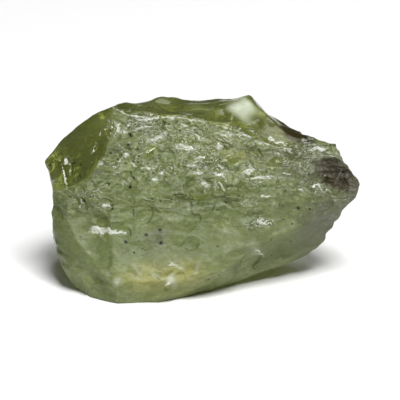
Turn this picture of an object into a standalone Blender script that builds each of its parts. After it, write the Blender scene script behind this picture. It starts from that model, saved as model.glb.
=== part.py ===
"""A rough green sapphire: one broken piece of crystal, a single solid.

The stone is a convex block between its outermost corners, with the dished scars that flakes left,
the near-level ledges along which the crystal parted, and small chips and lumps all over.
It is shaped in millimetres and turned into metres at the end. X runs along the stone, -Y is its
rough front, +Z is up, and the origin is under its middle, on the surface that it rests on.
"""
import math
from random import Random

import bmesh
import bpy
from mathutils import Matrix, Vector, kdtree, noise
from mathutils.bvhtree import BVHTree

# Driving dimensions, in millimetres
LENGTH = 13.0
DEPTH = 7.6
HEIGHT = 7.1
MM = 0.001
STONE_MIDDLE = Vector((0.0, -0.2, 3.5))
OUTSIDE = 12.0

# How finely the surface is worked, and how many triangles are kept
GRAIN = 0.11
TRIANGLES_KEPT = 9600

# The outermost corners of the block, in millimetres; the stone is cut flat at the height of zero
FOOT_CORNERS = [
    (-5.3, -2.0, 0.1),
    (-4.75, -2.85, -0.05),
    (-4.1, -3.4, -0.05),
    (-3.4, -3.7, -0.05),
    (-1.7, -3.6, -0.05),
    (-0.1, -2.55, -0.05),
    (0.95, -1.9, 0.05),
    (2.0, -1.2, 0.18),
    (3.65, -0.45, 0.5),
    (4.4, -0.5, 0.9),
    (2.6, 1.0, 0.4),
    (1.0, 1.9, -0.03),
    (-1.6, 2.2, -0.03),
    (-3.2, 1.0, -0.03),
    (-4.8, 2.4, 0.45),
    (-5.95, 1.55, 0.5),
    (-5.35, 0.0, 0.3),
]
FLANK_CORNERS = [
    (-6.28, 1.55, 0.85),
    (-5.98, -1.85, 1.05),
    (-5.3, -2.9, 1.0),
    (-3.4, -4.0, 0.9),
    (-1.2, -4.05, 1.1),
    (0.8, -3.35, 1.2),
    (5.1, -0.7, 1.5),
    (5.0, 0.9, 1.7),
    (2.4, 2.9, 1.5),
    (-3.6, 3.3, 1.2),
]
GIRDLE_CORNERS = [
    (-6.1, -1.7, 2.3),
    (-6.4, -0.9, 4.5),
    (-6.58, -0.6, 5.0),
    (-5.6, -1.75, 4.2),
    (-5.7, 2.4, 3.0),
    (-2.6, 3.6, 3.3),
    (0.8, 3.65, 3.9),
    (3.4, 2.9, 3.4),
    (5.6, 1.2, 3.9),
    (6.56, -1.05, 4.2),
    (6.04, -1.0, 4.8),
    (6.32, -1.0, 3.65),
    (5.5, -0.85, 2.3),
    (4.1, -2.1, 3.6),
    (1.5, -2.9, 2.6),
]
TOP_CORNERS = [
    (-5.85, 0.1, 5.72),
    (-5.38, 0.3, 6.15),
    (-4.95, 0.4, 6.3),
    (-4.5, 0.45, 6.7),
    (-3.75, 0.3, 7.12),
    (-3.3, 1.4, 6.92),
    (-1.8, 2.0, 7.05),
    (-1.2, 2.2, 6.95),
    (1.5, 2.35, 7.22),
    (1.75, 2.3, 7.1),
    (2.15, 2.0, 6.78),
    (4.5, 0.9, 5.5),
    (5.02, -0.5, 6.34),
    (5.44, -0.62, 6.02),
    (-3.05, -0.35, 7.0),
    (-3.75, -0.75, 6.3),
    (-4.1, -1.1, 5.45),
    (-1.3, -0.4, 6.9),
    (0.0, -0.5, 6.75),
    (1.2, -0.65, 6.45),
]

# Flake scars, in millimetres: where on the stone, the way the scar faces, the way it runs, and its
# length, width and depth
UPRIGHT = (0.0, 0.0, 1.0)
LEVEL = (1.0, 0.0, 0.0)
ACROSS = (0.0, 1.0, 0.0)
OUTLINE_SCARS = [
    ((0.0, 2.4, 6.95), (0.0, 0.1, 1.0), ACROSS, 4.0, 2.5, 0.16),
    ((3.8, 1.0, 6.1), (0.4, 0.1, 1.0), ACROSS, 5.0, 2.8, 0.25),
    ((3.0, -0.8, 6.05), (0.16, -0.2, 1.0), ACROSS, 3.4, 3.0, 0.31),
    ((5.95, -0.9, 3.0), (0.9, -0.1, -0.5), ACROSS, 2.6, 1.0, 0.1),
    ((-6.3, 0.0, 2.95), (-1.0, 0.0, 0.0), (0.0, 0.94, -0.34), 9.0, 2.8, 0.27),
    ((-2.7, 1.5, 7.0), (0.0, 0.2, 1.0), ACROSS, 2.2, 1.3, 0.12),
    ((6.0, -0.9, 4.9), (0.85, 0.0, 0.55), ACROSS, 2.6, 1.6, 0.1),
    ((2.6, 1.7, 6.8), (0.7, 0.1, 1.0), ACROSS, 4.0, 1.4, 0.14),
]
FRONT_SCARS = [
    ((-4.75, -0.9, 5.5), (-0.45, -0.75, 0.48), (0.55, 0.1, 0.8), 3.8, 1.9, 0.26),
    ((-5.5, -1.4, 4.5), (-0.5, -0.8, 0.3), (0.4, 0.1, -0.9), 1.7, 1.1, 0.2),
    ((-0.8, -2.6, 2.7), (0.05, -0.9, 0.45), (1.0, 0.0, 0.05), 8.4, 2.8, 0.28),
    ((-1.2, -1.1, 5.9), (0.0, -0.8, 0.6), (1.0, 0.0, -0.1), 4.6, 1.8, 0.2),
    ((-2.2, -1.1, 5.5), (0.2, -0.95, 0.3), (0.5, 0.0, 0.8), 1.8, 1.0, 0.14),
    ((2.8, -1.2, 5.0), (0.1, -0.85, 0.5), (1.0, 0.0, -0.15), 2.6, 1.3, 0.28),
    ((5.0, -1.2, 4.65), (0.35, -0.85, 0.3), (0.75, 0.0, -0.6), 2.4, 1.5, 0.36),
    ((2.9, -2.1, 3.6), (0.25, -1.0, 0.1), (1.0, 0.0, -0.35), 3.4, 1.7, 0.2),
    ((-4.6, -2.0, 3.2), (-0.3, -0.9, 0.2), (0.6, 0.0, -0.7), 2.6, 1.7, 0.24),
    ((3.4, -1.8, 1.6), (0.35, -0.8, -0.5), (1.0, 0.3, 0.4), 3.6, 1.8, 0.26),
    ((-0.6, -3.9, 1.5), (0.2, -0.95, 0.3), (0.9, 0.0, 0.3), 2.6, 1.4, 0.24),
    ((-4.6, -3.2, 0.9), (-0.5, -0.9, 0.1), (0.8, 0.0, -0.5), 2.2, 1.3, 0.2),
]
REAR_SCARS = [
    ((-3.4, 2.6, 5.4), (-0.2, 0.9, 0.5), (1.0, 0.0, -0.3), 4.6, 3.4, 0.5),
    ((1.6, 3.2, 5.4), (0.1, 0.9, 0.4), (0.5, 0.0, 1.0), 3.8, 3.0, 0.4),
    ((-0.6, 3.4, 2.0), (0.0, 0.95, -0.2), (1.0, 0.0, 0.2), 5.0, 2.8, 0.42),
    ((-5.0, 2.8, 1.8), (-0.5, 0.8, -0.1), (0.2, 0.0, 1.0), 3.0, 2.2, 0.3),
    ((4.2, 2.2, 4.0), (0.6, 0.75, 0.2), (0.7, 0.0, -0.7), 3.4, 2.2, 0.35),
    ((-6.0, 1.4, 4.2), (-0.95, 0.3, 0.2), UPRIGHT, 3.0, 2.0, 0.3),
    ((-4.9, 2.0, 5.4), (-0.6, 0.6, 0.5), ACROSS, 2.2, 2.0, 0.2),
    ((-0.6, 0.8, 7.0), (0.0, -0.05, 1.0), LEVEL, 4.6, 2.0, 0.16),
    ((5.2, 0.3, 2.4), (0.85, 0.2, -0.5), ACROSS, 2.8, 2.0, 0.28),
]
RAGGED = 0.09
RAGGED_SIZE = 1.3

# Small chips all over: how many, their length, their width as a share of it, their depth, how far
# they tilt, and the most that one takes away
CHIPS = 170
CHIP_LENGTH = (0.8, 2.4)
CHIP_WIDTH = (0.35, 0.8)
CHIP_DEPTH = (0.03, 0.1)
CHIP_TILT = 0.12
CHIP_LIMIT = 0.22
CHIP_SEED = 11

# Ledges: the height between them, how far each stands out, how they tilt and wander, and the clean
# left shoulder that has none: its middle, its reach and how softly they end there
CLEAN_MIDDLE = Vector((-5.4, 0.4, 5.9))
CLEAN_REACH = 2.1
CLEAN_FADE = 0.6
LEDGE_PITCH = 0.55
LEDGE_DEPTH = 0.16
LEDGE_TILT = math.radians(-7)
LEDGE_WANDER = 0.45
LEDGE_RISE = 0.78
LEDGE_PATCH = 2.0
LEDGE_SHARE = 0.5
LEDGE_CONTRAST = 1.6
LEDGE_PLACE = Vector((7.0, 3.0, 1.0))

# Lumps all over the broken surface: their size and height, and how the smaller ones follow
LUMP_SIZE = 0.8
LUMP_HEIGHT = 0.05
LUMP_FADE = 0.9
LUMP_STEP = 2.1
LUMP_OCTAVES = 3


def clear_scene():
    for old in list(bpy.data.objects):
        bpy.data.objects.remove(old)


def broken_block():
    """The convex block between the outermost corners, as an object shaped in millimetres."""
    shape = bmesh.new()
    for corner in FOOT_CORNERS + FLANK_CORNERS + GIRDLE_CORNERS + TOP_CORNERS:
        shape.verts.new(corner)
    made = bmesh.ops.convex_hull(shape, input=shape.verts)
    inside = [v for v in made["geom_interior"] if isinstance(v, bmesh.types.BMVert)]
    bmesh.ops.delete(shape, geom=inside, context="VERTS")
    bmesh.ops.recalc_face_normals(shape, faces=shape.faces)
    mesh = bpy.data.meshes.new("sapphire")
    shape.to_mesh(mesh)
    shape.free()
    stone = bpy.data.objects.new("sapphire", mesh)
    bpy.context.scene.collection.objects.link(stone)
    return stone


def apply_modifier(stone, kind, **settings):
    """Adds one modifier, applies it to the mesh, and leaves the stone with none."""
    modifier = stone.modifiers.new(kind.title(), kind)
    for name, value in settings.items():
        setattr(modifier, name, value)
    graph = bpy.context.evaluated_depsgraph_get()
    worked = bpy.data.meshes.new_from_object(stone.evaluated_get(graph))
    stone.modifiers.clear()
    stone.data = worked


def surface_of(mesh):
    places = [vertex.co.copy() for vertex in mesh.vertices]
    return BVHTree.FromPolygons(places, [face.vertices[:] for face in mesh.polygons])


def cut_scar(vertices, middle, facing, run, length, width, depth, limit=OUTSIDE):
    """Lowers what stands above a dish with ragged edges, which is deepest at its middle."""
    out = Vector(facing).normalized()
    across = out.cross(Vector(run)).normalized()
    along = across.cross(out)
    for vertex in vertices:
        away = vertex.co - middle
        share = (2 * away.dot(along) / length) ** 2 + (2 * away.dot(across) / width) ** 2
        dish = depth * (share - 1.0) + RAGGED * noise.noise(vertex.co / RAGGED_SIZE + middle)
        above = min(away.dot(out) - dish, limit)
        if above > 0.0:
            vertex.co -= out * above


def cut_scars(mesh):
    surface = surface_of(mesh)
    for where, *scar in REAR_SCARS + FRONT_SCARS + OUTLINE_SCARS:
        middle = surface.find_nearest(Vector(where))[0]
        cut_scar(mesh.vertices, middle, *scar)


def chip_all_over(mesh):
    """Cuts small scars at chance places, each tilted a little from the surface around it."""
    chance = Random(CHIP_SEED)
    surface = surface_of(mesh)
    near = kdtree.KDTree(len(mesh.vertices))
    for vertex in mesh.vertices:
        near.insert(vertex.co, vertex.index)
    near.balance()
    for _ in range(CHIPS):
        outward = Vector([chance.gauss(0.0, 1.0) for _ in range(3)]).normalized()
        middle, normal, _, _ = surface.ray_cast(STONE_MIDDLE + outward * OUTSIDE, -outward)
        tilt = Vector([chance.gauss(0.0, CHIP_TILT) for _ in range(3)])
        run = Vector([chance.gauss(0.0, 1.0) for _ in range(3)])
        length = chance.uniform(*CHIP_LENGTH)
        width = length * chance.uniform(*CHIP_WIDTH)
        depth = chance.uniform(*CHIP_DEPTH)
        around = [mesh.vertices[index] for _, index, _ in near.find_range(middle, length / 2)]
        cut_scar(around, middle, normal + tilt, run, length, width, depth, CHIP_LIMIT)


def ledge_height(place):
    """Saw-tooth terraces, cut inward only, deep in some places and absent in others."""
    wander = LEDGE_WANDER * noise.noise(place / LEDGE_PATCH)
    level = place.z * math.cos(LEDGE_TILT) + place.x * math.sin(LEDGE_TILT) + wander
    phase = (level / LEDGE_PITCH) % 1.0
    tooth = min(phase / LEDGE_RISE, (1.0 - phase) / (1.0 - LEDGE_RISE))
    strength = LEDGE_SHARE + LEDGE_CONTRAST * noise.noise(place / LEDGE_PATCH + LEDGE_PLACE)
    strength = min(strength, ((place - CLEAN_MIDDLE).length - CLEAN_REACH) / CLEAN_FADE)
    return LEDGE_DEPTH * max(0.0, min(1.0, strength)) * (tooth - 1.0)


def roughen(mesh):
    """Cuts ledges into the upright faces and raises low lumps everywhere."""
    moves = []
    for vertex in mesh.vertices:
        upright = 1.0 - abs(vertex.normal.z)
        lumps = LUMP_HEIGHT * noise.fractal(vertex.co / LUMP_SIZE, LUMP_FADE, LUMP_STEP, LUMP_OCTAVES)
        moves.append(vertex.normal * (lumps + upright * ledge_height(vertex.co)))
    for vertex, move in zip(mesh.vertices, moves):
        vertex.co += move


def cut_foot(mesh):
    """Cuts the small flat spot that the stone rests on, and fills it."""
    shape = bmesh.new()
    shape.from_mesh(mesh)
    cut = bmesh.ops.bisect_plane(
        shape,
        geom=shape.verts[:] + shape.edges[:] + shape.faces[:],
        plane_co=(0, 0, 0),
        plane_no=(0, 0, -1),
        clear_outer=True,
        dist=1e-5,
    )
    rim = [e for e in cut["geom_cut"] if isinstance(e, bmesh.types.BMEdge)]
    bmesh.ops.holes_fill(shape, edges=rim, sides=0)
    bmesh.ops.triangulate(shape, faces=shape.faces)
    bmesh.ops.recalc_face_normals(shape, faces=shape.faces)
    shape.to_mesh(mesh)
    shape.free()


def bring_to_size(mesh):
    """Gives the stone its length, depth and height in metres, over the origin."""
    low = Vector([min(v.co[axis] for v in mesh.vertices) for axis in range(3)])
    high = Vector([max(v.co[axis] for v in mesh.vertices) for axis in range(3)])
    spans = high - low
    under_middle = Vector(((low.x + high.x) / 2, (low.y + high.y) / 2, low.z))
    mesh.transform(Matrix.Translation(-under_middle))
    for axis, size in enumerate((LENGTH, DEPTH, HEIGHT)):
        direction = Vector([float(axis == other) for other in range(3)])
        mesh.transform(Matrix.Scale(size / spans[axis] * MM, 4, direction))


def sapphire_material():
    material = bpy.data.materials.new("green sapphire")
    material.use_nodes = True
    shader = material.node_tree.nodes["Principled BSDF"]
    shader.inputs["Base Color"].default_value = (0.2, 0.25, 0.12, 1.0)
    shader.inputs["Roughness"].default_value = 0.25
    shader.inputs["IOR"].default_value = 1.77
    shader.inputs["Transmission Weight"].default_value = 0.6
    return material


def make_sapphire():
    stone = broken_block()
    apply_modifier(stone, "REMESH", mode="VOXEL", voxel_size=GRAIN)
    chip_all_over(stone.data)
    cut_scars(stone.data)
    stone.data.update()
    roughen(stone.data)
    triangles = 2 * len(stone.data.polygons)
    apply_modifier(stone, "DECIMATE", ratio=TRIANGLES_KEPT / triangles)
    cut_foot(stone.data)
    bring_to_size(stone.data)
    stone.data.materials.clear()
    stone.data.materials.append(sapphire_material())
    return stone


clear_scene()
make_sapphire()
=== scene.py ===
import math
from random import Random

import bpy
import numpy as np
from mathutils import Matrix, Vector, kdtree, noise


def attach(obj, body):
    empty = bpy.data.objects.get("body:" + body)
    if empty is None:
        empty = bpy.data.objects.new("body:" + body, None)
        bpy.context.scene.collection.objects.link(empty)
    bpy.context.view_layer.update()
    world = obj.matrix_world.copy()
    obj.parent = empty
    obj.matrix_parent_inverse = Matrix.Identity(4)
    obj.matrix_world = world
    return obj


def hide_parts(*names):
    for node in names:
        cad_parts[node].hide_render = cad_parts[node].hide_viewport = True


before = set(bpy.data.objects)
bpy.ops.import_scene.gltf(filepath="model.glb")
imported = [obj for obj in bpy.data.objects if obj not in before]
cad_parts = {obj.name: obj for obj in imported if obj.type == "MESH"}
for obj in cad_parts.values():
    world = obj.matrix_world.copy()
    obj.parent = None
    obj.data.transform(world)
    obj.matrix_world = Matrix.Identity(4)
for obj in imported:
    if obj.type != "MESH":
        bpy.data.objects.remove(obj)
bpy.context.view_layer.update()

# The camera
# A long lens, 20 degrees above the level of the card, straight at the rough front. One picture
# element is this wide at the stone, which is 313 of them long.
MM = 0.001
PIXEL = 13.0 * MM / 313
REACH = 0.15
LEAN = math.radians(20)
toward_lens = Vector((0, -math.cos(LEAN), math.sin(LEAN)))
picture_up = Vector((0, math.sin(LEAN), math.cos(LEAN)))
aim = Vector((-2 * PIXEL, 0, 0)) + picture_up * 3.0 * MM
camera = bpy.data.objects.new("camera", bpy.data.cameras.new("camera"))
bpy.context.scene.collection.objects.link(camera)
camera.location = aim + toward_lens * REACH
camera.rotation_mode = "QUATERNION"
camera.rotation_quaternion = (-toward_lens).to_track_quat("-Z", "Y")
camera.data.sensor_width = 36
camera.data.lens = 36 * REACH / (400 * PIXEL)
camera.data.clip_start = 0.01
camera.data.clip_end = 5.0
bpy.context.scene.camera = camera

# The stone
# One broken piece of green corundum. It is copied from the solid, worked over on a finer grid, and
# the flakes, ripples and treads that are too small for the solid are cut into it.
GRID = 0.046
TRIANGLES = 190000
SHARP_ANGLE = math.radians(35)


def pick_only(piece):
    bpy.ops.object.select_all(action="DESELECT")
    piece.select_set(True)
    bpy.context.view_layer.objects.active = piece


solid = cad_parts["sapphire"]
stone = bpy.data.objects.new("rough_sapphire", solid.data.copy())
bpy.context.scene.collection.objects.link(stone)
pick_only(stone)
bpy.ops.object.mode_set(mode="EDIT")
bpy.ops.mesh.select_all(action="SELECT")
bpy.ops.mesh.remove_doubles(threshold=1e-7)
bpy.ops.object.mode_set(mode="OBJECT")
remesh = stone.modifiers.new("grid", "REMESH")
remesh.mode = "VOXEL"
remesh.voxel_size = GRID * MM
bpy.ops.object.modifier_apply(modifier="grid")


class Surface:
    """The points of the stone, in millimetres, with where each shows in the picture."""

    def __init__(self, mesh):
        mesh.update()
        self.count = len(mesh.vertices)
        flat = np.empty(self.count * 3, np.float32)
        mesh.vertices.foreach_get("co", flat)
        self.places = flat.reshape(-1, 3).astype(float) / MM
        mesh.vertices.foreach_get("normal", flat)
        self.normals = flat.reshape(-1, 3).astype(float)
        away = self.places - np.array(aim) / MM
        nearer = away @ np.array(toward_lens)
        scale = REACH / (REACH - nearer * MM) * MM / PIXEL
        self.columns = 200 + away[:, 0] * scale
        self.rows = 200 - away @ np.array(picture_up) * scale
        self.nearer = nearer
        self.seen = self.normals @ np.array(toward_lens)

    def cloud(self, size, shift=0.0):
        """A smooth chance value from about -1 to 1 at each point, in lumps of one size."""
        aside = Vector((shift, 0.0, 0.0))
        return np.array([noise.noise(Vector(place) / size + aside) for place in self.places])

    def marks(self, spots, ragged=0.0, lump=0.25):
        """How deep each point lies in marks on the side that is seen, below 0 outside them. A mark is
        its column and row, half its length and height, its turn in degrees, and its strength. Their
        edges wander by so many picture elements, in lumps of one size."""
        columns, rows = self.columns, self.rows
        if ragged:
            columns = columns + ragged * self.cloud(lump, 3.0)
            rows = rows + ragged * self.cloud(lump, 8.0)
        field = np.full(self.count, -1.0)
        for column, row, length, height, turn, strength in spots:
            across, up = columns - column, row - rows
            turned = math.radians(turn)
            run = across * math.cos(turned) + up * math.sin(turned)
            rise = up * math.cos(turned) - across * math.sin(turned)
            field = np.maximum(field, strength * (1.0 - np.hypot(run / length, rise / height)))
        return np.where(self.seen > 0.0, field, -1.0)


def step(value, low, high):
    """0 below low, 1 above high, and a smooth step between them."""
    share = np.clip((value - low) / (high - low), 0.0, 1.0)
    return share * share * (3 - 2 * share)


# The clean shoulder ends at this line, as rows and columns of the picture
SHOULDER_ROWS = [108, 133, 155, 165, 177, 188, 193]
SHOULDER_COLUMNS = [112, 113, 105, 96, 87, 67, 60]

# The sharp crest above the rough front, as columns and rows
CREST_COLUMNS = [112, 128, 150, 175, 200, 230, 255, 275, 296]
CREST_ROWS = [107, 115, 118, 117, 121, 129, 139, 147, 150]

# Windows of clear crystal in the rough front
WINDOWS = [
    (275, 163, 13, 8, 10, 0.9),
    (151, 152, 11, 6, 55, 0.8),
    (301, 200, 7, 7, 0, 0.45),
    (222, 228, 10, 6, -35, 0.4),
    (232, 160, 12, 7, -20, 0.7),
]


def roughness_of(surface):
    """How far each point belongs to broken, frosted surface, from 0 to 1."""
    lumps = surface.cloud(1.1)
    facing = step(0.25 * lumps - surface.normals[:, 1], 0.05, 0.45)
    edge = np.interp(surface.rows, SHOULDER_ROWS, SHOULDER_COLUMNS)
    past_edge = step(surface.columns - edge + 5 * surface.cloud(0.6), -3, 5)
    below_edge = step(surface.rows, 184, 196)
    crest = np.interp(surface.columns, CREST_COLUMNS, CREST_ROWS) - 60 * step(surface.columns, 296, 306)
    front = facing * np.maximum(past_edge, below_edge) * step(surface.rows - crest, -2.0, 1.5)
    front = front * (1.0 - 0.8 * step(surface.marks(WINDOWS), 0.0, 0.5))
    rear = 0.8 * step(surface.normals[:, 1], 0.15, 0.55) * step(surface.cloud(2.2, 7.0), -0.15, 0.25)
    narrow_end = 0.7 * step(surface.places[:, 0], 4.0, 5.0)
    return np.maximum(np.maximum(front, rear), narrow_end)


# The clean faces are evened first, so that they lie smooth beside the broken ones
surface = Surface(stone.data)
rough = roughness_of(surface)
clean = stone.vertex_groups.new(name="clean")
underside = step(surface.rows, 196, 206) * step(surface.columns, 285, 310) * (surface.seen > -0.8)
evened = np.maximum(1.0 - rough, underside) * step(surface.places[:, 2], 0.2, 0.5)
levels = np.round(10 * evened).astype(int)
for level in range(1, 11):
    clean.add([int(index) for index in np.flatnonzero(levels == level)], level / 10, "REPLACE")
even = stone.modifiers.new("even", "SMOOTH")
even.factor = 0.5
even.iterations = 40
even.vertex_group = "clean"
bpy.ops.object.modifier_apply(modifier="even")
stone.vertex_groups.clear()

surface = Surface(stone.data)
places, normals = surface.places, surface.normals
near = kdtree.KDTree(surface.count)
for index, place in enumerate(places):
    near.insert(place, index)
near.balance()


def unit(way):
    return way / np.linalg.norm(way)


def cut_flake(middle, out, run, length, width, depth, limit):
    """Cuts a shallow dish: out is the way it faces and run the way its length lies."""
    picked = [index for _, index, _ in near.find_range(middle, 0.6 * length)]
    if not picked:
        return
    run = unit(run - out * (run @ out))
    away = places[picked] - middle
    share = (2 * away @ run / length) ** 2 + (2 * away @ np.cross(out, run) / width) ** 2
    above = away @ out - depth * (share - 1.0)
    places[picked] -= np.outer(np.clip(above, 0.0, limit), out)


# Flakes by chance, more of them on the rough parts, and fewer below the rows where it calms
FLAKES_TRIED = 1100
CALM_ROWS = (196, 232)
FLAKE_FLOOR = 0.15
low_down = step(surface.rows, *CALM_ROWS)
chance = Random(5)
for _ in range(FLAKES_TRIED):
    index = chance.randrange(surface.count)
    likely = 0.03 + 0.97 * rough[index] * (1.0 - 0.95 * low_down[index])
    if chance.random() > likely or places[index][2] < FLAKE_FLOOR:
        continue
    length = chance.uniform(0.25, 0.95)
    out = unit(normals[index] + np.array([chance.gauss(0.0, 0.18) for _ in range(3)]))
    run = np.array([chance.gauss(1.0, 0.5), chance.gauss(0.0, 0.5), chance.gauss(0.0, 0.4)])
    width = length * chance.uniform(0.3, 0.7)
    cut_flake(places[index].copy(), out, run, length, width, length * chance.uniform(0.03, 0.07), 0.1)

# Treads: small steps that face up towards the light, crowded where the front glitters
GLITTER = [
    (121, 127, 7, 9, 0, 1.0),
    (143, 124, 26, 10, 0, 1.1),
    (155, 139, 20, 8, 12, 1.0),
    (186, 134, 24, 20, 0, 1.2),
    (220, 147, 14, 10, 0, 1.1),
    (203, 163, 24, 15, 0, 1.2),
    (219, 175, 15, 6, -12, 1.0),
    (206, 185, 10, 6, -25, 1.0),
    (235, 135, 26, 7, -16, 0.9),
    (250, 171, 12, 7, 15, 1.0),
    (264, 178, 20, 5, 4, 1.0),
    (295, 160, 22, 12, -15, 1.0),
    (317, 151, 20, 9, 0, 1.1),
    (248, 153, 14, 6, -30, 0.8),
    (160, 170, 16, 10, -10, 0.8),
    (120, 157, 14, 9, 0, 0.9),
    (140, 148, 10, 7, 0, 0.9),
    (82, 195, 14, 9, 0, 0.9),
    (106, 205, 8, 4, -5, 1.0),
    (261, 222, 12, 5, -12, 0.6),
    (315, 187, 14, 7, 0, 0.8),
]
LAMP_PLACE = Vector((0.05, -0.12, 0.25))
to_light = np.array((LAMP_PLACE.normalized() + toward_lens).normalized())
glitter = surface.marks(GLITTER)
glittery = np.flatnonzero(glitter > 0.0)
TREADS_TRIED = 900
for _ in range(TREADS_TRIED):
    index = int(glittery[chance.randrange(len(glittery))])
    if chance.random() > 0.25 + glitter[index]:
        continue
    length = chance.uniform(0.18, 0.62)
    width = chance.uniform(0.10, 0.24)
    out = unit(0.1 * normals[index] + 0.9 * to_light + np.array([chance.gauss(0.0, 0.10) for _ in range(3)]))
    run = np.array([1.0, chance.gauss(0.0, 0.25), chance.gauss(-0.08, 0.25)])
    cut_flake(places[index].copy(), out, run, length, width, 0.02, 0.08)

# Glint marks: white painted glints on flakes and along the edges of ledges, each at its own place
GLINT_MARKS = [
    (118.5, 127, 7, 2.4, 85, 0.9),
    (125, 132, 5, 1.8, -5, 0.9),
    (145, 119.5, 18, 1.6, 1, 0.8),
    (144, 127, 13, 1.6, 11, 0.85),
    (155, 139, 13, 3.2, 15, 1.0),
    (163, 135, 5, 3.5, 40, 0.9),
    (184, 147, 13, 4.5, -4, 1.0),
    (182, 124.5, 7, 2, -20, 0.9),
    (195, 128.5, 5, 1.6, -5, 0.9),
    (198, 137, 6, 1.4, -60, 0.8),
    (191, 120.5, 4, 1.6, 10, 0.8),
    (222, 134, 13, 1.5, -11, 0.8),
    (217, 144.5, 4, 2.2, 0, 1.0),
    (133, 164.5, 8, 1.1, -25, 0.8),
    (148, 168, 8, 1.3, 2, 0.8),
    (215, 183, 6, 1.0, -62, 0.7),
    (223, 189, 4, 1.1, -20, 0.7),
    (126, 155, 4, 3, 0, 0.8),
    (170, 118, 6, 1.8, 0, 0.9),
    (101, 163, 3.6, 3, 0, 0.8),
    (161, 173, 4.5, 1.3, 30, 0.9),
    (154, 179, 4.5, 2, -10, 1.0),
    (118, 172, 7, 1.1, -10, 0.7),
    (66, 161, 4.5, 2.8, 80, 1.0),
    (99, 135, 5, 0.9, 78, 0.7),
    (93, 150, 7, 0.9, 66, 0.8),
    (65, 177, 12, 1.2, 100, 0.8),
    (70, 172, 9, 0.9, 88, 0.7),
    (192, 191, 5.5, 1.2, 0, 0.9),
    (106, 205.5, 6.5, 2.4, -8, 1.0),
    (99, 230, 12, 4.6, -2, 1.1),
    (110, 231.5, 8, 3.2, -2, 1.1),
    (119, 232, 10, 2.2, -3, 1.0),
    (168, 283, 6, 2.2, 30, 0.7),
    (154, 277, 6, 1.4, -30, 0.6),
    (171, 265, 5, 2, -5, 0.9),
    (271, 139, 5, 2.2, -35, 1.0),
    (281, 143, 8, 1.5, -8, 1.0),
    (230, 133, 21, 1.2, -14, 0.7),
    (261, 144, 12, 1.1, -24, 0.7),
    (277, 153, 7, 1.2, -36, 0.9),
    (317, 149, 13, 3.2, 4, 0.8),
    (220, 147, 6.5, 4, 0, 0.9),
    (200, 157, 9, 1.5, -3, 0.9),
    (199, 161.5, 9, 1.5, -4, 0.9),
    (198, 166, 15, 1.8, -3, 0.9),
    (197, 173, 8, 1.6, 0, 0.9),
    (219, 174.5, 11, 2.0, -15, 0.9),
    (220, 166, 6, 1.6, -35, 0.8),
    (206, 185, 7, 3.2, -28, 0.85),
    (220, 184, 8, 1.1, -45, 0.8),
    (248, 171, 9, 3.6, 22, 0.85),
    (262, 177.5, 18, 2.6, 4, 1.0),
    (287, 175, 7, 1.2, -12, 0.7),
    (266, 196, 11, 1.2, 5, 0.9),
    (318, 185, 9, 1.6, 10, 0.8),
    (301, 190, 7, 1.2, -35, 0.8),
    (261, 222, 10, 2.8, -12, 1.0),
    (259, 252, 9, 1.8, -40, 0.65),
]
# Only those on the sharp part of the front are cut as treads as well as painted as glints
FIRST_CUT_ROW = 117
LAST_CUT_ROW = 240
for column, row, length, height, turn, strength in GLINT_MARKS:
    close = np.hypot(surface.columns - column, surface.rows - row) + 100.0 * (surface.seen < 0.05)
    found = np.flatnonzero(close < 1.2)
    if not len(found) or not FIRST_CUT_ROW <= row <= LAST_CUT_ROW:
        continue
    index = int(found[np.argmax(surface.nearer[found])])
    turned = math.radians(turn)
    run = np.array(Vector((math.cos(turned), 0, 0)) + picture_up * math.sin(turned))
    out = unit(0.1 * normals[index] + 0.9 * to_light)
    size = 2 * PIXEL / MM
    broken = rough[index]
    taller = size * (height + 1.0 * broken)
    cut_flake(places[index].copy(), out, run, size * length, taller, 0.02, 0.04 + 0.04 * broken)


# Ripples: low steps across the rough front, where the crystal parted in thin level layers. They
# and the fine wear stop just above the card.
RIPPLE_PITCH = 0.24
RIPPLE_DEPTH = 0.05
RIPPLE_FLOOR = 0.12
FINE_WEAR = 0.010


def ripple_depth(place):
    warp = 0.35 * noise.noise(place * 0.55) + 0.07 * noise.noise(place * 2.3)
    phase = (place.z + 0.12 * place.x + warp) / RIPPLE_PITCH % 1.0
    tooth = min(phase / 0.8, (1.0 - phase) / 0.2)
    patch = min(1.0, max(0.0, (noise.noise(place * 0.7 + Vector((3.0, 9.0, 4.0))) + 0.1) / 0.35))
    return RIPPLE_DEPTH * patch * (1.0 - tooth)


for index in range(surface.count):
    place = Vector(places[index])
    if place.z > RIPPLE_FLOOR:
        rippled = rough[index] * (1.0 - 0.9 * low_down[index]) * ripple_depth(place)
        worn = rippled + FINE_WEAR * noise.fractal(place * 4.0, 0.8, 2.2, 3)
        places[index] -= normals[index] * worn
stone.data.vertices.foreach_set("co", (places * MM).astype(np.float32).ravel())
stone.data.update()
thin = stone.modifiers.new("thin", "DECIMATE")
thin.ratio = min(1.0, TRIANGLES / (2 * len(stone.data.polygons)))
bpy.ops.object.modifier_apply(modifier="thin")
bpy.ops.object.shade_smooth_by_angle(angle=SHARP_ANGLE)

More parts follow.
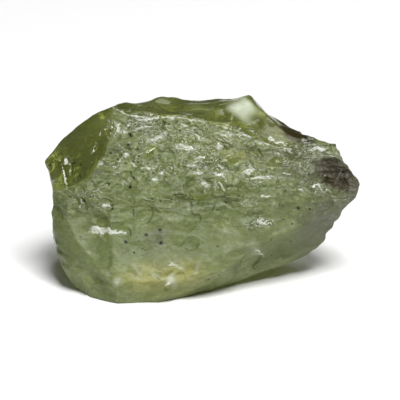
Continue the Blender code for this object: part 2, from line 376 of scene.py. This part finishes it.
# What the material needs to know is kept on the mesh, as shades from 0 to 1
surface = Surface(stone.data)
# Yellow: mostly a painted glow on the lower front and lower right, where light comes through the stone, and
# one pale yellow patch on the front
YELLOW_GLOW = [
    (165, 278, 55, 22, 4, 1.0),
    (190, 272, 18, 14, 0, 1.0),
    (275, 285, 60, 12, 12, 0.8),
    (233, 150, 30, 12, -20, 0.35),
]
BROWN = [
    (335, 174, 30, 19, -34, 2.2),
    (296, 133, 28, 11, -33, 2.0),
    (290, 136, 14, 6, -28, 1.5),
    (326, 196, 9, 5, 20, 0.5),
    (252, 214, 6, 4, 0, 0.4),
    (160, 260, 12, 5, 15, 0.3),
    (213, 273, 18, 5, 3, 0.35),
    (151, 150, 13, 8, 55, 0.4),
    (104, 140, 24, 6, 84, 0.4),
    (236, 272, 8, 6, 0, 0.35),
]
GREY = [
    (50, 186, 5, 14, 95, 1.0),
    (350, 190, 16, 24, 0, 1.2),
    (322, 222, 38, 20, 45, 0.85),
    (300, 168, 34, 18, -15, 0.5),
    (158, 236, 14, 10, 0, 0.35),
]
SMUDGES = [
    (158, 237, 6, 8, 0, 1.0),
    (238, 188, 7, 2, 35, 0.9),
    (309, 177, 4, 3, 0, 1.0),
    (207, 208, 6, 2, 55, 0.8),
    (109, 218, 12, 3, 10, 0.6),
    (95, 175, 14, 4, 40, 0.6),
    (310, 155, 8, 2, 0, 0.7),
]
# Pale places without a sharp edge: the soft highlight on the rear peak and the lighter rear band and lower
# front are painted highlights, the rest pale, milky patches
MILKY_AND_HIGHLIGHTS = [
    (243, 109, 25, 18, -40, 1.15),
    (235, 103, 18, 9, 5, 0.6),
    (205, 111, 44, 9, -3, 0.45),
    (150, 108, 44, 8, 0, 0.22),
    (117, 282, 8, 6, 0, 0.9),
    (171, 281, 13, 7, 15, 1.1),
    (176, 266, 9, 3, -12, 0.8),
    (197, 270, 8, 10, 10, 0.5),
    (137, 266, 9, 4, -25, 0.6),
    (155, 276, 10, 4, -30, 0.7),
    (105, 275, 7, 9, 0, 0.5),
    (93, 253, 6, 8, 30, 0.5),
    (137, 276, 7, 4, -10, 0.5),
    (50, 186, 4, 16, 95, 0.8),
    (259, 252, 11, 4, -40, 0.7),
    (254, 250, 22, 13, -15, 0.4),
    (246, 224, 12, 7, -25, 0.6),
    (186, 209, 16, 9, 20, 0.4),
    (220, 200, 8, 9, 0, 0.35),
    (100, 230, 14, 6, -2, 0.5),
    (140, 124, 22, 6, 0, 0.35),
]
# Painted shade: a deeper green painted on the left shoulder, which lies darker in the light
SHOULDER_SHADE = [
    (80, 166, 38, 28, 0, 1.0),
    (72, 140, 30, 30, 0, 0.6),
]
# Places crowded with the smallest dark grains
SPECKLED = [
    (107, 138, 8, 32, 0, 1.2),
    (130, 138, 13, 13, 0, 1.0),
    (79, 166, 10, 9, 0, 1.2),
    (150, 236, 16, 8, 0, 0.6),
    (190, 131, 12, 7, 0, 0.8),
]
# Dark grains that show one by one: column, row and half width
GRAINS = [
    (111, 121, 1.0), (107, 140, 1.2), (130, 134, 1.5), (128, 145, 1.7), (120, 144, 1.2), (139, 144, 1.3),
    (138, 149, 1.4), (115, 152, 1.3), (74, 163, 1.6), (77, 163, 1.2), (81, 159, 1.3), (85, 162, 1.3),
    (80, 176, 1.3), (85, 174, 1.4), (95, 178, 1.0), (109, 184, 1.5), (125, 184, 1.0), (130, 187, 2.1),
    (84, 201, 1.8), (163, 125, 1.1), (169, 124, 1.1), (180, 131, 1.3), (197, 133, 1.2), (196, 139, 1.1),
    (146, 235, 2.2), (126, 242, 2.2), (160, 230, 2.0), (161, 243, 2.2), (298, 208, 1.9), (310, 209, 1.4),
    (284, 219, 1.4), (292, 224, 1.3), (226, 202, 1.2), (81, 237, 1.3), (112, 209, 1.4), (99, 212, 1.3),
    (309, 174, 1.5), (152, 199, 1.2), (143, 172, 1.1), (153, 173, 1.0), (217, 210, 1.1), (271, 240, 1.2),
]
# Painted highlight: a thin, broken bright line along the crest
along_crest = np.interp(surface.columns, CREST_COLUMNS, CREST_ROWS)
crest_highlight = 0.85 - np.abs(surface.rows - along_crest) / 1.3 + 0.7 * surface.cloud(0.4, 5.0)
crest_highlight = np.where((surface.seen > 0.0) & (surface.columns > 112) & (surface.columns < 292), crest_highlight, -1.0)
# The glittering parts stop at the clear windows, and the hidden sides have some as well
in_window = step(surface.marks(WINDOWS), 0.0, 0.4)
front_glitter = step(surface.marks(GLITTER, 14.0, 0.5), -0.2, 0.3) * (1.0 - 0.9 * in_window)
hidden_glitter = step(surface.cloud(1.5, 21.0), 0.12, 0.34) * step(-surface.seen, 0.0, 0.2)
hidden_glitter = hidden_glitter * step(surface.normals[:, 2], -0.6, 0.0)
grain_marks = [(column, row, 1.1 * size, size, 0, 1.0) for column, row, size in GRAINS]
shades = {
    "rough": roughness_of(surface),
    "glitter": np.maximum(front_glitter, hidden_glitter),
    # Painted glints: the glint marks and the bright crest line
    "painted_glint": 0.5 + 0.5 * np.maximum(surface.marks(GLINT_MARKS, 2.2, 0.16), 0.7 * crest_highlight),
    "yellow_glow": step(surface.marks(YELLOW_GLOW), -0.2, 0.7),
    "brown": step(surface.marks(BROWN), 0.0, 1.0),
    "grey": step(surface.marks(GREY), -0.3, 0.5),
    "milky_and_highlight": step(surface.marks(MILKY_AND_HIGHLIGHTS, 9.0, 0.7), 0.0, 1.0),
    "soft": step(surface.rows, 198, 236),
    "speckled": step(surface.marks(SPECKLED, 4.0, 0.5), 0.0, 0.4),
    "deep": step(surface.marks(SHOULDER_SHADE), 0.0, 0.6),
    "under": step(-surface.normals[:, 2], 0.1, 0.5) * step(-surface.seen, -0.05, 0.1),
    "dusky": step(surface.rows, 165, 205) * (1.0 - step(surface.rows, 255, 272)),
    "smudge": step(surface.marks(SMUDGES), -0.2, 0.8),
    "grain": 0.5 + 0.5 * surface.marks(grain_marks),
}
for name, values in shades.items():
    kept = stone.data.attributes.new(name, "FLOAT", "POINT")
    kept.data.foreach_set("value", values.astype(np.float32))


class Wire:
    """An output of the material's nodes. Sums, products and powers of wires add Math nodes."""

    def __init__(self, tree, socket):
        self.tree = tree
        self.socket = socket

    def node(self, kind, settings=None, sockets=None, output=0):
        """Adds a node: its settings first, then the values or wires of its sockets, by name or place."""
        made = self.tree.nodes.new("ShaderNode" + kind)
        for name, value in (settings or {}).items():
            setattr(made, name, value)
        for name, value in (sockets or {}).items():
            if isinstance(value, Wire):
                self.tree.links.new(value.socket, made.inputs[name])
            else:
                made.inputs[name].default_value = value
        return Wire(self.tree, made.outputs[output])

    def maths(self, operation, *values):
        return self.node("Math", {"operation": operation}, dict(enumerate(values)))

    def __add__(self, other):
        return self.maths("ADD", self, other)

    def __sub__(self, other):
        return self.maths("SUBTRACT", self, other)

    def __rsub__(self, other):
        return self.maths("SUBTRACT", other, self)

    def __mul__(self, other):
        return self.maths("MULTIPLY", self, other)

    __radd__ = __add__
    __rmul__ = __mul__

    def fraction(self):
        return self.maths("FRACT", self)

    def least(self, other):
        return self.maths("MINIMUM", self, other)

    def most(self, other):
        return self.maths("MAXIMUM", self, other)

    def step(self, low, high):
        """0 below low and 1 above high, with a smooth step between them."""
        return self.node("MapRange", {"interpolation_type": "SMOOTHSTEP"}, {0: self, 1: low, 2: high})

    def blend(self, colour, other):
        """The one colour where this is 0, and the other where it is 1."""
        sockets = {"Factor": self, 6: colour, 7: other}
        return self.node("Mix", {"data_type": "RGBA"}, sockets, 2)


crystal = bpy.data.materials.new("green_sapphire")
crystal.use_nodes = True
tree = crystal.node_tree
tree.nodes.clear()
start = Wire(tree, None)

# Places in millimetres, and the same squeezed so that chips and layers lie level
place = start.node("TexCoord", output="Object")
mm = place.node("Mapping", {"vector_type": "POINT"}, {"Vector": place, "Scale": (1000, 1000, 1000)})
squeeze = {"Vector": place, "Scale": (1000, 1000, 2300), "Rotation": (0, 0.12, 0)}
layered = place.node("Mapping", {"vector_type": "POINT"}, squeeze)
shade = {name: start.node("Attribute", {"attribute_name": name}, output="Fac") for name in shades}
front = shade["rough"]


def cloud(vector, scale, detail=2.0, roughness=0.55, output="Fac"):
    sockets = {"Vector": vector, "Scale": scale, "Detail": detail, "Roughness": roughness}
    return vector.node("TexNoise", None, sockets, output)


def far(vector, scale, feature="F1"):
    """How far each place lies from the middle of its cell, or from the cell's edge."""
    sockets = {"Vector": vector, "Scale": scale}
    return vector.node("TexVoronoi", {"feature": feature}, sockets, "Distance")


def vectors(operation, one, other, output="Vector"):
    return one.node("VectorMath", {"operation": operation}, {0: one, 1: other}, output)


def facets(vector, scale, tilt):
    """Each chip is a small plane tilted its own way: height in millimetres."""
    cell = vector.node("TexVoronoi", {"feature": "F1"}, {"Vector": vector, "Scale": scale}, "Position")
    own = Wire(tree, cell.socket.node.outputs["Color"])
    lean = vectors("SUBTRACT", own, (0.5, 0.5, 0.5))
    return vectors("DOT_PRODUCT", vectors("SUBTRACT", vector, cell), lean, "Value") * tilt


def shaken(vector, scale, amount):
    """The same places, pushed about by a cloud, so that edges wander."""
    push = vectors("SUBTRACT", cloud(mm, scale, 3.0, output="Color"), (0.5, 0.5, 0.5))
    return vectors("ADD", vector, push.node("VectorMath", {"operation": "SCALE"}, {0: push, "Scale": amount}))


# Relief: chips all over the rough front, calmer low down, and treads where it glitters. A tread
# falls back as it rises, so that it faces up towards the light, and ends at a short riser.
TREAD_PITCH = 0.13
TREAD_SLOPE = 0.42
patches = cloud(mm, 0.8, 3.0).step(0.42, 0.62)
calm = 1 - 0.75 * shade["soft"]
# Painted glints: the glint marks and the crest line, with ragged edges; the bump is calmed under them
painted_glint = (shade["painted_glint"] + (cloud(layered, 4.5, 5.0, 0.75) - 0.5) * 0.75).step(0.57, 0.70)
sparkle = shade["glitter"].most(0.35 * front * calm * cloud(mm, 2.6, 3.0).step(0.54, 0.64))
matt = front * (1 - sparkle)
chips = shaken(layered, 1.6, 0.9)
small_chips = shaken(layered, 5.0, 0.35)
climb = vectors("DOT_PRODUCT", mm, (0.09, math.sin(LEAN), math.cos(LEAN)), "Value")
phase = (climb * (1 / TREAD_PITCH) + cloud(mm, 1.0, 3.0) * 9.0 + cloud(mm, 4.0, 2.0) * 1.2).fraction()
tread = ((1 - phase) * (1 / 0.85)).least(phase * (1 / 0.15))
broken = front * calm * (1 - 0.6 * shade["glitter"])
relief = (
    facets(chips, 2.0, 0.26) * (0.06 + 0.94 * broken)
    + facets(small_chips, 5.5, 0.36) * broken * (0.35 + 0.65 * patches)
    + tread * (TREAD_PITCH * TREAD_SLOPE) * sparkle * cloud(mm, 2.2, 3.0).step(0.38, 0.50)
    + facets(small_chips, 12.0, 0.5) * sparkle * (1 - painted_glint)
    + cloud(layered, 10.0, 4.0, 0.65) * 0.02 * (0.1 + 0.9 * broken)
    + cloud(mm, 1.6, 3.0) * 0.05
    - shade["grain"].step(0.54, 0.68) * 0.03
)
bump = start.node("Bump", None, {"Strength": 1.0, "Distance": MM, "Height": relief})

# Colour: clean olive crystal, paler and greyer where it is frosted
olive = cloud(mm, 0.45, 3.0).step(0.35, 0.65).blend((0.24, 0.29, 0.045, 1), (0.36, 0.41, 0.10, 1))
dull = cloud(mm, 0.9, 6.0, 0.62).step(0.34, 0.64).blend((0.135, 0.175, 0.036, 1), (0.33, 0.385, 0.155, 1))
mottle = cloud(layered, 3.2, 5.0, 0.7).step(0.35, 0.68)
frost = (mottle * 0.6).blend(dull, (0.46, 0.53, 0.25, 1))
grit = cloud(layered, 7.0, 5.0, 0.8).step(0.44, 0.56)
frost = (grit * 0.45).blend(frost, (0.10, 0.13, 0.028, 1))
body = front.blend(olive, frost)
body = (shade["dusky"] * 0.55).blend(body, (0.135, 0.17, 0.045, 1))
# Painted shade: small dark pits painted over the broken and glittering parts
pit_shade = cloud(small_chips, 6.0, 3.0, 0.75).step(0.46, 0.56)
body = (pit_shade * (0.6 * sparkle + 0.4 * broken)).blend(body, (0.075, 0.10, 0.02, 1))
cells = Wire(tree, chips.node("TexVoronoi", None, {"Vector": chips, "Scale": 1.9}, "Color").socket)
plates = cells.node("SeparateColor", None, {0: cells}, "Red")
# The painted glow's colour, paler and darker by plates
honey_glow = plates.step(0.2, 0.8).blend((0.28, 0.27, 0.05, 1), (0.54, 0.52, 0.16, 1))
body = (shade["yellow_glow"] * 0.75).blend(body, honey_glow)
body = (shade["grey"] * (0.4 + 0.8 * cloud(layered, 1.8, 4.0))).blend(body, (0.14, 0.145, 0.085, 1))
wander = cloud(mm, 2.5, 4.0) * 0.6 + 0.7
body = (shade["brown"] * wander).blend(body, (0.040, 0.026, 0.002, 1))
body = (shade["smudge"] * cloud(mm, 3.5, 4.0).step(0.35, 0.6) * 0.8).blend(body, (0.06, 0.07, 0.035, 1))
# Painted highlights and pale patches: a pale milky colour painted in
body = (shade["milky_and_highlight"] * wander).blend(body, (0.70, 0.76, 0.57, 1))

# Painted glints: the broken edges of the chips are painted bright, in lines that lie nearly level
edge_far = far(chips, 2.6, "DISTANCE_TO_EDGE")
edges = (1 - edge_far.step(0.01, 0.05)) * cloud(mm, 2.4, 3.0).step(0.50, 0.62) * (0.4 * front * calm)
# Painted glints: small white flecks where the front glitters
glint_flecks = cloud(small_chips, 7.0, 3.0, 0.7).step(0.50, 0.60) * sparkle
# Painted sheen: a pale silvery colour painted over the glittering parts
painted_sheen = shade["glitter"] * cloud(layered, 1.7, 4.0, 0.7).step(0.40, 0.60)
body = (painted_sheen * 0.36).blend(body, (0.60, 0.67, 0.45, 1))
lines = (1 - far(small_chips, 4.2, "DISTANCE_TO_EDGE").step(0.015, 0.055)) * front
# Painted glints: thin white lines along the edges of the small chips
thin_glints = lines * cloud(mm, 3.1, 3.0).step(0.50, 0.58) * (0.25 + 0.75 * sparkle) * calm
thin_dark = lines * (1 - cloud(mm, 3.1, 3.0).step(0.36, 0.46)) * (0.1 + 0.9 * calm)
crumbs = cloud(small_chips, 8.0, 3.0, 0.75).step(0.38, 0.50)
# All the painted glints together, painted near white over the body colour below
white = edges.most(glint_flecks * 0.75).most(painted_glint * (0.3 + 0.65 * crumbs)).most(thin_glints * 0.8)
body = (thin_dark * 0.75).blend(body, (0.045, 0.06, 0.012, 1))
body = white.blend(body, (0.95, 0.98, 0.88, 1))

# Dark grains: some at their own places, the rest by chance and crowded here and there
specks = (1 - far(mm, 2.6).step(0.10, 0.17)) * cloud(mm, 0.5, 2.0).step(0.52, 0.66)
fine_specks = (1 - far(mm, 5.0).step(0.10, 0.20)) * sparkle * cloud(mm, 1.5, 2.0).step(0.5, 0.6)
pepper = (1 - far(mm, 4.0).step(0.15, 0.26)) * shade["speckled"] * cloud(mm, 2.2, 2.0).step(0.44, 0.5)
grain = (shade["grain"] + 0.2 * cloud(mm, 9.0, 2.0) - 0.1).step(0.54, 0.68)
dark = specks.most(fine_specks).most(pepper).most(grain)
colour = dark.blend(body, (0.010, 0.014, 0.004, 1))
clear_green = cloud(mm, 0.9, 4.0).step(0.35, 0.65).blend((0.56, 0.61, 0.14, 1), (0.75, 0.80, 0.25, 1))
# The shoulder's painted shade darkens the clear green
glass = (shade["deep"] * 0.8).blend(clear_green, (0.33, 0.37, 0.09, 1))
glass = (shade["brown"] * 0.85).blend(glass, (0.14, 0.10, 0.03, 1))
glass = shade["under"].blend(glass, (0.92, 0.94, 0.42, 1))
clear_colour = dark.blend(glass, (0.010, 0.014, 0.004, 1))

haze = cloud(mm, 3.0, 3.0)
frosted = start.node("BsdfPrincipled", None, {
    "Base Color": colour,
    "Roughness": 0.08 * haze + 0.05 + 0.40 * matt + 0.12 * shade["soft"],
    "Normal": bump,
    "IOR": 1.77,
    "Specular IOR Level": 0.16,
    "Transmission Weight": 0.3,
}, "BSDF")
clear = start.node("BsdfPrincipled", None, {
    "Base Color": clear_colour,
    "Roughness": 0.09 + 0.10 * haze + 0.30 * matt - 0.07 * sparkle,
    "Normal": bump,
    "IOR": 1.77,
    "Transmission Weight": 0.9,
}, "BSDF")
frosted_share = (0.10 + 0.78 * front - 0.34 * sparkle) * (1 - 0.9 * shade["under"])
for covered in (white, dark, shade["milky_and_highlight"], shade["brown"] * 0.95):
    frosted_share = frosted_share.most(covered)
skin = start.node("MixShader", None, {0: frosted_share, 1: clear, 2: frosted}, "Shader")
depth_of_colour = {"Color": (0.62, 0.70, 0.20, 1), "Density": 420.0}
inside = start.node("VolumeAbsorption", None, depth_of_colour, "Volume")
output = tree.nodes.new("ShaderNodeOutputMaterial")
tree.links.new(skin.socket, output.inputs["Surface"])
tree.links.new(inside.socket, output.inputs["Volume"])
stone.data.materials.clear()
stone.data.materials.append(crystal)
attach(stone, "root")
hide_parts("sapphire")

# The floor
# A plain sheet of smooth white card, wide enough to run behind the stone without an edge.
bpy.ops.object.select_all(action="DESELECT")
bpy.ops.mesh.primitive_plane_add(size=3.0, location=(0, 0, 0))
floor = bpy.context.object
floor.name = "white_card"
card = bpy.data.materials.new("white_card")
card.use_nodes = True
paper = card.node_tree.nodes["Principled BSDF"]
paper.inputs["Base Color"].default_value = (0.975, 0.975, 0.975, 1)
paper.inputs["Roughness"].default_value = 0.9
paper.inputs["Specular IOR Level"].default_value = 0.0
floor.data.materials.append(card)

# The light
# A white tent lit from above, dimmer round the sides, and one soft lamp in front of its top that
# glints on the treads.
world = bpy.data.worlds.new("white_tent")
world.use_nodes = True
bpy.context.scene.world = world
sky = Wire(world.node_tree, None)
way = sky.node("TexCoord", output="Generated")
height = way.node("SeparateXYZ", None, {0: way}, "Z")
glow = height.step(0.40, 0.80) * 1.16 + 0.90
world.node_tree.links.new(glow.socket, world.node_tree.nodes["Background"].inputs["Strength"])


def hang_lamp(name, place, size, energy):
    """A square lamp that faces the stone."""
    lamp = bpy.data.objects.new(name, bpy.data.lights.new(name, "AREA"))
    lamp.data.size = size
    lamp.data.energy = energy
    lamp.location = place
    lamp.rotation_mode = "QUATERNION"
    lamp.rotation_quaternion = place.to_track_quat("Z", "Y")
    bpy.context.scene.collection.objects.link(lamp)


hang_lamp("soft_lamp", LAMP_PLACE, 0.11, 0.88)
# A second lamp above and behind shines through the stone on to the card in front of it
hang_lamp("rear_lamp", Vector((0.03, 0.13, 0.24)), 0.16, 0.12)
bpy.context.scene.view_settings.view_transform = "Standard"
